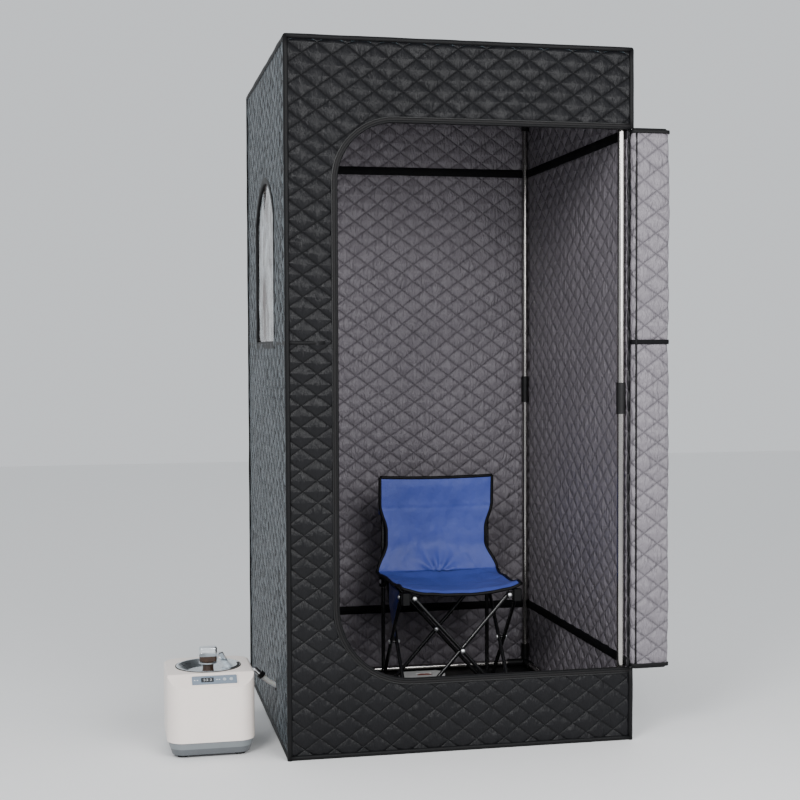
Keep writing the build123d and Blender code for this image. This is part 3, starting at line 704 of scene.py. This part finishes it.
strip_lo, strip_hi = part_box("door_strip_1")
hinge_x = strip_lo.x - HINGE_GAP
strip_w = strip_hi.x - strip_lo.x + 2 * HINGE_GAP
door_z0, door_z1 = strip_lo.z, strip_hi.z
door_h = door_z1 - door_z0


def doorway_height(x):
    """How tall the door is at x, less what its rounded corners take."""
    from_left = max(0, x - DOORWAY_LEFT - DOOR_CLEAR)
    height = door_h
    for r in (DOORWAY_LOW_R, DOORWAY_TOP_R):
        into_corner = max(0, r - from_left)
        height -= r - math.sqrt(r * r - into_corner * into_corner)
    return height


for k in range(2, STRIP_COUNT + 1):
    lo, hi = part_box(f"door_strip_{k}")
    odd = k % 2 == 1
    u_start = (k - 1) * strip_w
    start_x = hinge_x if odd else hinge_x + strip_w
    origin = Vector((start_x, hi.y if odd else lo.y, door_z0))
    way = X if odd else -X
    out = Y if odd else -Y
    piece = slab(f"door_cloth_{k}", origin + way * HINGE_GAP, way, Z, out, strip_w - 2 * HINGE_GAP, door_h, STRIP_T,
                 None, puff=0.0016, wrinkle=0.0003, u0=u_start, seed=20)
    if k >= STRIP_COUNT - 1:  # the last two reach the doorway's rounded corners
        outline = [(hinge_x - u_start - x, z - door_z0) for x, z in doorway(DOOR_CLEAR, hinge_x + 0.02)]
        cut_with(piece, outline, origin, way, Z, out, "INTERSECT")
    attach(piece, f"door_strip_{k}")
    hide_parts(f"door_strip_{k}")
    heights = [doorway_height(hinge_x - u_start - strip_w * (i + 0.5) / 20) for i in range(20)]

# The first strip's cover: the door as it is rolled and tied
ROLL_FRONT = strip_lo.y - 0.002
ROLL_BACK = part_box(f"door_strip_{STRIP_COUNT}")[1].y + 0.004
ROLL_LEFT = hinge_x - 0.0005
ROLL_RIGHT = hinge_x + strip_w + 0.0015


def roll_outline(grow):
    """The roll's plan: tight corners in front, rounder ones behind, as (x, y)."""
    x0, x1, y0, y1 = ROLL_LEFT - grow, ROLL_RIGHT + grow, ROLL_FRONT - grow, ROLL_BACK + grow
    front_r, back_r = 0.009 + grow, 0.012 + grow
    points = arc((x0 + front_r, y0 + front_r), front_r, 180, 270, 5)
    points += arc((x1 - front_r, y0 + front_r), front_r, 270, 360, 5)
    points += arc((x1 - back_r, y1 - back_r), back_r, 0, 90, 5)
    points += arc((x0 + back_r, y1 - back_r), back_r, 90, 180, 5)
    loop = [Vector((x, y, 0)) for x, y in points]
    return spaced(loop + loop[:1], 0.006)[:-1]


plan = roll_outline(0)
count = len(plan)
rows = round(door_h / GRID_V)
lengths = np.cumsum([0] + [(plan[(i + 1) % count] - plan[i]).length for i in range(count)])
tie_z = middle("door_tie").z
centre = Vector(((ROLL_LEFT + ROLL_RIGHT) / 2, (ROLL_FRONT + ROLL_BACK) / 2, 0))
verts, uvs = [], []
for j in range(rows + 1):
    z = door_z0 + door_h * j / rows
    pinch = 0.0028 * math.exp(-((z - tie_z) / 0.035) ** 2)
    end = min(1.0, min(j, rows - j) / 3)
    for i, p in enumerate(plan):
        tangent = (plan[(i + 1) % count] - plan[i - 1]).normalized()
        normal = Vector((tangent.y, -tangent.x, 0))
        u = lengths[i]
        sewn_u, sewn_v = warp(np.array([[u]]), np.array([[z - door_z0]]), 41)
        h = float(puff_field(sewn_u, sewn_v, 0.0024, 0.0012, 41)[0, 0])
        swell = 0.0022 * noise.noise(Vector((p.x * 9, p.y * 9, z * 6)))
        verts.append(p + normal * ((h + swell + 0.001) * end - pinch) + Z * z)
        uvs.append((sewn_u[0, 0], sewn_v[0, 0]))
faces = ring_faces(rows + 1, count)
sides = [(plan[i] + plan[(i + 1) % count]) / 2 - centre for i in range(count)]
which = [1 if side.y > 0.012 else 0 for side in sides] * rows  # the lining shows, apart from behind
for j, sign in ((0, -1), (rows, 1)):
    previous = [j * count + i for i in range(count)]
    for shrink, rise in ((0.86, 0.004), (0.6, 0.0055), (0.3, 0.006)):
        ring = []
        for i in range(count):
            p = centre.lerp(plan[i], shrink)
            ring.append(len(verts))
            verts.append(p + Z * (door_z0 + door_h * j / rows + sign * rise))
            uvs.append((lengths[i], 0))
        for i in range(count):
            k = (i + 1) % count
            quad = (previous[i], previous[k], ring[k], ring[i])
            faces.append(quad if sign > 0 else tuple(reversed(quad)))
            which.append(0)
        previous = ring
    faces.append(tuple(previous) if sign > 0 else tuple(reversed(previous)))
    which.append(0)
roll = make("door_roll", verts, faces, [lining_quilt, outer_quilt], "door_strip_1", which, uvs)
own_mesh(roll)
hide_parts("door_strip_1")


def spiral(z, tag, sign):
    """The rolled binding that shows on the roll's end."""
    path = []
    for turn in range(3):
        for i in range(0, count, 2):
            shrink = 0.97 - 0.25 * (turn + i / count)
            p = centre.lerp(plan[i], shrink)
            path.append(p + Z * (z + sign * (0.002 + 0.004 * (1 - shrink))))
    obj = sweep(f"roll_end_{tag}", path, Z * sign, round_section(ROLL_EDGE_R, 8), [piping_cloth], "door_strip_1")
    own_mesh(obj)


spiral(door_z0, "low", -1)
spiral(door_z1, "top", 1)


def roll_band(name, z, height, grow, material):
    """A band that goes round the roll."""
    loop = [p + Z * z for p in roll_outline(grow)]

    def outward(p):
        near = min(range(len(loop)), key=lambda i: (loop[i] - p).length)
        tangent = loop[(near + 1) % len(loop)] - loop[near - 1]
        return Vector((tangent.y, -tangent.x, 0))

    obj = sweep(name, loop, outward, band_section(height, 0.0022, 0.004), [material], "door_strip_1",
                closed=True)
    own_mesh(obj)
    return obj


roll_band("roll_hem_top", door_z1 - 0.004, 0.009, 0.0024, piping_cloth)
roll_band("roll_hem_low", door_z0 + 0.004, 0.009, 0.0024, piping_cloth)
band = roll_band("roll_tie", tie_z, 0.012, 0.0015, webbing)
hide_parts("door_tie")
edge_x, edge_y = hinge_x + 0.008, ROLL_FRONT - 0.001
edge_line = spaced([(edge_x, edge_y, door_z0), (edge_x, edge_y, door_z1)], SEWN_STEP)
sweep("door_seam", edge_line, -Y, band_section(0.005, 0.0030), [piping_cloth], "door_strip_1")

# --- Chair cloth ---

post_right, post_left = middle("chair_post_rr").x, middle("chair_post_rl").x
post_y = middle("chair_post_rr").y
chair_mid = (post_left + post_right) / 2
hub_front_y = middle("chair_hub_fr").y
seat_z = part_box("seat_rear")[0].z + 0.004
seat_split_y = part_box("seat_rear")[0].y
seat_back_y = post_y - 0.022
back_top_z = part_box("backrest")[1].z


def smooth_step(a, b, t):
    t = min(1.0, max(0.0, (t - a) / (b - a)))
    return t * t * (3 - 2 * t)


def back_point(s, t):
    """The backrest's cloth: s across from -1 to 1, t up from 0 to 1."""
    waist = 0.154 + 0.020 * smooth_step(0.42, 0.72, t) + 0.032 * (1 - smooth_step(0.0, 0.3, t))
    z = seat_z + 0.008 + (back_top_z - seat_z - 0.008) * t
    z -= 0.004 * (1 - s * s) * t
    hollow = 0.014 * (1 - s * s) * math.sin(math.pi * min(1, t * 1.1))
    lean = post_y - 0.014 - 0.018 * (1 - smooth_step(0, 0.3, t)) - 0.004 * smooth_step(0.5, 1, t)
    crease = 0.0032 * noise.noise(Vector((s * 2.6, t * 4.5, 2.0)))
    crease += 0.0015 * noise.noise(Vector((s * 9, t * 7, 5.0)))
    pleat = -0.006 * math.exp(-(s / 0.05) ** 2) * (1 - smooth_step(0.05, 0.22, t))
    reach = math.hypot(s * 0.17, t * 0.28)
    fan = 0.006 * math.sin(9 * math.atan2(s * 0.17, t * 0.28 + 0.01)) * math.exp(-((reach / 0.055) ** 2))
    hem = -0.0012 * math.exp(-((t - 0.68) / 0.008) ** 2) - 0.0012 * math.exp(-((t - 0.655) / 0.008) ** 2)
    return Vector((chair_mid + waist * s, lean + hollow + crease + pleat + fan - hem, z))


def seat_point(s, y):
    """The seat's cloth: s across from -1 to 1, from the back's foot to the front edge."""
    t = (y - hub_front_y) / (seat_back_y - hub_front_y)
    half = 0.174 + 0.012 * smooth_step(0.6, 1, t)
    belly = 0.45 + 0.55 * math.sin(math.pi * min(1, max(0, t)))
    sag = -0.020 * (1 - s * s) * belly * (1 - 0.5 * smooth_step(0.8, 1, t))
    corner = 0.010 * abs(s) ** 4 * (1 - smooth_step(0.0, 0.25, t))
    lip = -0.010 * (1 - smooth_step(-0.03, 0.06, t)) * (1 - 0.6 * abs(s) ** 3)
    crease = 0.0025 * noise.noise(Vector((s * 3.2, y * 14, 7.0)))
    crease += 0.0016 * math.sin(s * 17 + y * 40) * abs(s) ** 2
    rise = 0.008 * smooth_step(0.86, 1.0, t)
    return Vector((chair_mid + half * s, y, seat_z + 0.004 + sag + corner + lip + crease + rise))


def cloth(name, point, s_steps, t_values, body, node, flat):
    """A closed sheet of cloth over point(s, t); flat = (width, length) is not used."""
    rows_s = [-1 + 2 * i / s_steps for i in range(s_steps + 1)]
    verts = [point(s, t) for s in rows_s for t in t_values]
    obj = make(name, verts, grid_faces(s_steps + 1, len(t_values)), [blue_nylon], body)
    thicken(obj, CLOTH_T)
    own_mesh(obj)
    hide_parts(node)


def cloth_edge(name, points, out, body):
    obj = sweep(name, points, out, round_section(CLOTH_EDGE_R, 8), [piping_cloth], body)
    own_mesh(obj)


back_steps = [i / 56 for i in range(57)]
cloth("back_cloth", back_point, 64, back_steps, "root", "backrest", (0.335, 0.295))
cloth_edge("back_edge_top", [back_point(i / 24 - 1, 1) for i in range(49)], -Y, "root")
for side, tag in ((-1, "left"), (1, "right")):
    cloth_edge(f"back_edge_{tag}", [back_point(side, t) for t in back_steps], -Y, "root")

front_edge_y = hub_front_y - 0.014
rear_ys = [seat_split_y + (seat_back_y - seat_split_y) * i / 20 for i in range(21)]
front_ys = [front_edge_y + (seat_split_y - front_edge_y) * i / 24 for i in range(25)]
cloth("seat_cloth_rear", seat_point, 56, rear_ys, "seat_rear", "seat_rear", (0.360, 0.142))
cloth("seat_cloth_front", seat_point, 56, front_ys, "seat_front", "seat_front", (0.350, 0.160))
cloth_edge("seat_edge_front", [seat_point(i / 24 - 1, front_edge_y) for i in range(49)], Z, "seat_front")
for side, tag in ((-1, "left"), (1, "right")):
    cloth_edge(f"seat_edge_rear_{tag}", [seat_point(side, y) for y in rear_ys], Z, "seat_rear")
    cloth_edge(f"seat_edge_front_{tag}", [seat_point(side, y) for y in front_ys], Z, "seat_front")

# The sleeves that hold the back on its posts
sides, levels = 20, 24
low, high = seat_z + 0.180, back_top_z - 0.002
for x, body, tag in ((post_left, "chair_foot_rl", "left"), (post_right, "root", "right")):
    verts = []
    for j in range(levels + 1):
        z = low + (high - low) * j / levels
        for i in range(sides):
            turn = 2 * math.pi * i / sides
            swell = 0.0105 + 0.0012 * noise.noise(Vector((turn, z * 22, x * 9)))
            verts.append(Vector((x + swell * 1.15 * math.cos(turn), post_y + swell * math.sin(turn), z)))
    faces = ring_faces(levels + 1, sides) + end_caps(levels + 1, sides)
    make(f"post_sleeve_{tag}", verts, faces, [blue_nylon], body)

# The pouch that hangs above the crossing of the left side's bars
cross_y = middle("left_bar_a").y
verts = []
levels, sides = 28, 28
for j in range(levels + 1):
    t = j / levels
    half_w = 0.012 + 0.062 * (1 - t) ** 0.9
    half_d = 0.0018 + 0.0065 * math.sin(math.pi * min(1, t * 1.35)) ** 0.8
    for i in range(sides):
        turn = 2 * math.pi * i / sides
        ripple = 1 + 0.3 * noise.noise(Vector((math.sin(turn) * 4, math.cos(turn) * 2, t * 7)))
        droop = 0.006 * math.cos(turn * 2) * t
        verts.append(Vector((
            post_left + half_d * math.cos(turn) * ripple,
            cross_y + half_w * math.sin(turn),
            seat_z - 0.014 - (0.146 + droop) * t,
        )))
faces = [f[::-1] for f in ring_faces(levels + 1, sides) + end_caps(levels + 1, sides)]
pouch = make("side_pouch", verts, faces, [pouch_nylon], "chair_foot_rl")
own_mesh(pouch)

# Rivets: the outer bar's outside, the inner bar's inside, and the cheeks over the inner bar's ends
rivet_profile = [(0.0066, -0.0006), (0.0066, 0.0008), (0.0054, 0.0024), (0.0032, 0.0036), (0.0006, 0.0040)]
for side, out in (("front", -Y), ("rear", Y), ("left", -X), ("right", X)):
    along = X if side in ("front", "rear") else Y
    plane = middle(f"{side}_bar_b") + out * BAR_OFFSET
    for bar, sign, offset in (("a", 1, BAR_FACE), ("b", -1, BAR_FACE), ("b", 1, CHEEK_FACE)):
        rise = -1 if bar == "a" else 1
        face = "out" if sign > 0 else "in"
        for spot, tag in ((-1, "near"), (1, "far"), (0, "mid")):
            if spot == 0 and offset == CHEEK_FACE:
                continue
            place = plane + along * PIVOT_REACH * spot + Z * PIVOT_RISE * spot * rise + out * offset * sign
            lathe(f"rivet_{side}_{bar}_{tag}_{face}", rivet_profile, place, out * sign, rivet_steel,
                  f"{side}_bar_{bar}", 20)

# --- Generator details ---

housing_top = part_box("generator_housing")[1].z
slope = math.atan2(0.030, 0.036)  # the panel's tilt: its drop over its run
slope_out = Vector((0, -math.sin(slope), math.cos(slope)))
slope_up = Vector((0, math.cos(slope), math.sin(slope)))
panel_face = middle("control_panel") + slope_out * 0.0015


def plate(name, centre_x, centre_up, w, h, t, material, corner=0.0015, lift=0.0):
    """A thin rounded plate on the control panel's face."""
    mid = panel_face + X * centre_x + slope_up * centre_up + slope_out * lift
    outline = rounded(w / 2 - corner, h / 2 - corner, corner, 4)
    verts = []
    for inset, level in ((0, -0.0003), (0, t * 0.6), (0.0003, t)):
        shrink = 1 - inset / (max(w, h) / 2)
        verts += [mid + X * a * shrink + slope_up * b * shrink + slope_out * level for a, b in outline]
    faces = ring_faces(3, len(outline)) + end_caps(3, len(outline))
    make(name, verts, faces, [material], "root", smooth=False)


frame_path = [
    panel_face - slope_out * 0.0022 + X * a + slope_up * b for a, b in rounded(0.0550, 0.0115, 0.003, 5)
]
sweep("panel_frame", frame_path, slope_out, band_section(0.003, 0.0012), [cream_shell], "root",
      closed=True)
plate("panel_display", -0.018, 0.0, 0.032, 0.014, 0.0006, display_black)
for i, x in enumerate((-0.050, -0.043, 0.006, 0.012)):
    plate(f"panel_mark_{i}", x, 0.0, 0.0035, 0.0022, 0.0003, mark_white, 0.0008)
# Three digits, each of two level bars and an upright one
digit_w, digit_h, digit_line = 0.004, 0.006, 0.0007
for i, x in enumerate((-0.026, -0.019, -0.010)):
    for k, (dx, dz, w, h) in enumerate((
        (0, 0.0026, digit_w, digit_line), (0, -0.0026, digit_w, digit_line), (0.0018, 0, digit_line, digit_h),
    )):
        plate(f"digit_{i}_{k}", x + dx, dz, w, h, 0.0002, mark_white, 0.0002, 0.0006)

knob_mid, knob_top = middle("clamp_knob"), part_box("clamp_knob")[1].z
cap_levels = ((0.96, -0.0225), (1.03, -0.0216), (1.03, -0.0020), (0.97, 0.0008), (0.80, 0.0014))
cap_ring = rounded(0.0148, 0.0068, 0.0075, 6)
verts = [
    Vector((knob_mid.x + a * shrink, knob_mid.y + b * shrink, knob_top + level))
    for shrink, level in cap_levels for a, b in cap_ring
]
faces = ring_faces(len(cap_levels), len(cap_ring)) + end_caps(len(cap_levels), len(cap_ring))
make("knob_cap", verts, faces, [dish_steel], "clamp_knob")

# A dark band on the dish's right side: painted shade for the slot there, where steam and water pass
lid_mid, lid_top = middle("tank_lid"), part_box("tank_lid")[1].z
slot_path = [(lid_mid.x + a, lid_mid.y + b, lid_top - 0.0002) for a, b in arc((0, 0), 0.0785, -48, 8, 18)]
sweep("dish_slot", slot_path, Z, band_section(0.0068, 0.0014), [rubber], "tank_lid")
# A dark ring round the dish: painted shade in the gap between dish and housing
rim_path = [(lid_mid.x + a, lid_mid.y + b, housing_top + 0.0002) for a, b in arc((0, 0), 0.0838, 0, 355, 71)]
sweep("dish_gap_shade", rim_path, Z, band_section(0.0022, 0.0012), [rubber], "root", closed=True)

# --- Hose and herb well ---

hose_route = [
    (-0.495, -0.185, 0.163), (-0.471, -0.185, 0.139), (-0.437, -0.180, 0.122), (-0.405, -0.164, 0.098),
    (-0.375, -0.139, 0.066), (-0.341, -0.105, 0.033), (-0.300, -0.062, 0.014), (-0.256, -0.014, 0.0114),
    (-0.207, 0.032, 0.0112), (-0.162, 0.076, 0.0114), (-0.120, 0.112, 0.013), (-0.080, 0.131, 0.019),
    (-0.038, 0.137, 0.024),
]
curve = bpy.data.curves.new("hose_line", "CURVE")
curve.dimensions = "3D"
curve.bevel_depth = HOSE_R
curve.bevel_resolution = 6
curve.resolution_u = 12
curve.use_fill_caps = True
spline = curve.splines.new("NURBS")
spline.points.add(len(hose_route) - 1)
for control, point in zip(spline.points, hose_route):
    control.co = (*point, 1.0)
spline.order_u = 3
spline.use_endpoint_u = True
curve.materials.append(silicone)
hose = add_object("hose_line", curve)
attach(hose, "root")
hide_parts("steam_hose")

well_mid = Vector((0.030, 0.140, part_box("herb_lid")[1].z - 0.0035))
well_u, well_v = 28, 16
verts = []
for i in range(well_u + 1):
    for j in range(well_v + 1):
        a, b = i / well_u * 2 - 1, j / well_v * 2 - 1
        lump = 0.0022 * noise.noise(Vector((a * 6, b * 5, 1))) + 0.001 * noise.noise(Vector((a * 17, b * 12, 2)))
        dome = 0.0035 * (1 - a ** 4) * (1 - b ** 4)
        verts.append(well_mid + Vector((a * 0.0225, b * 0.0125, dome + lump * (1 - a ** 6) * (1 - b ** 6))))
pad = make("herb_pad", verts, grid_faces(well_u + 1, well_v + 1), [herb_brown], "herb_lid")
thicken(pad, 0.001, -1)

# --- Materials on the CAD nodes ---

cad_materials = {
    black_plastic: ["hose_port", "post_sleeves", "corner_connectors", "hose_nut"],
    tube_steel: ["lower_posts", "upper_posts", "top_rails", "bottom_rails"],
    chair_paint: [n for n in nodes if "_bar_" in n] + ["chair_post_rr", "chair_post_rl"],
    chair_plastic: [n for n in nodes if n.startswith(("chair_foot", "chair_hub"))],
    cream_shell: ["generator_housing"],
    grey_base: ["generator_base"],
    rubber: ["generator_feet"],
    dish_steel: ["water_tank", "tank_lid", "clamp_arm"],
    heater_metal: ["heater_plate"],
    knob_brown: ["clamp_knob"],
    panel_blue: ["control_panel"],
    button_grey: ["button_power", "button_timer"],
    chrome: ["outlet_elbow"],
    box_white: ["herb_box", "herb_lid"],
}
for material, names in cad_materials.items():
    for name in names:
        nodes[name].data.materials.clear()
        nodes[name].data.materials.append(material)

# --- Stage, light and camera ---

ground_mesh = bpy.data.meshes.new("ground")
ground_mesh.from_pydata([(-9, -9, 0), (9, -9, 0), (9, 9, 0), (-9, 9, 0)], [], [(0, 1, 2, 3)])
ground = add_object("ground", ground_mesh)
ground_mesh.materials.append(surface("ground_paint", (0.86, 0.86, 0.86), (0.88, 0.88, 0.88), 0.6, 0.02, 50, 0.0))

world = bpy.data.worlds.new("studio")
bpy.context.scene.world = world
world.use_nodes = True
sky = world.node_tree.nodes["Background"]
sky.inputs["Color"].default_value = (0.93, 0.965, 1, 1)
sky.inputs["Strength"].default_value = 0.85


def area_light(name, place, target, size, power):
    light = bpy.data.lights.new(name, "AREA")
    light.energy = power
    light.size = size
    lamp = add_object(name, light)
    lamp.location = place
    lamp.rotation_euler = (Vector(target) - Vector(place)).to_track_quat("-Z", "Y").to_euler()


area_light("key", (-2.4, -3.4, 2.8), (0, 0, 0.9), 1.4, 120)
area_light("fill", (2.4, -3.0, 1.8), (0, 0, 0.9), 2.0, 30)
area_light("inside", (0.5, -2.6, 1.7), (0.0, 0.4, 1.3), 1.2, 45)

camera_data = bpy.data.cameras.new("camera")
camera_data.lens = 64.06
camera_data.sensor_width = 36
camera = add_object("camera", camera_data)
look = Vector((0.205606, 0.977951, -0.036589))
aside = Vector((0.978568, -0.205885, -0.003994))
above = Vector((0.011439, 0.034983, 0.999322))
turned = Matrix((aside, above, -look)).transposed().to_4x4()
camera.matrix_world = Matrix.Translation((-0.903, -3.959, 1.032)) @ turned
bpy.context.scene.camera = camera
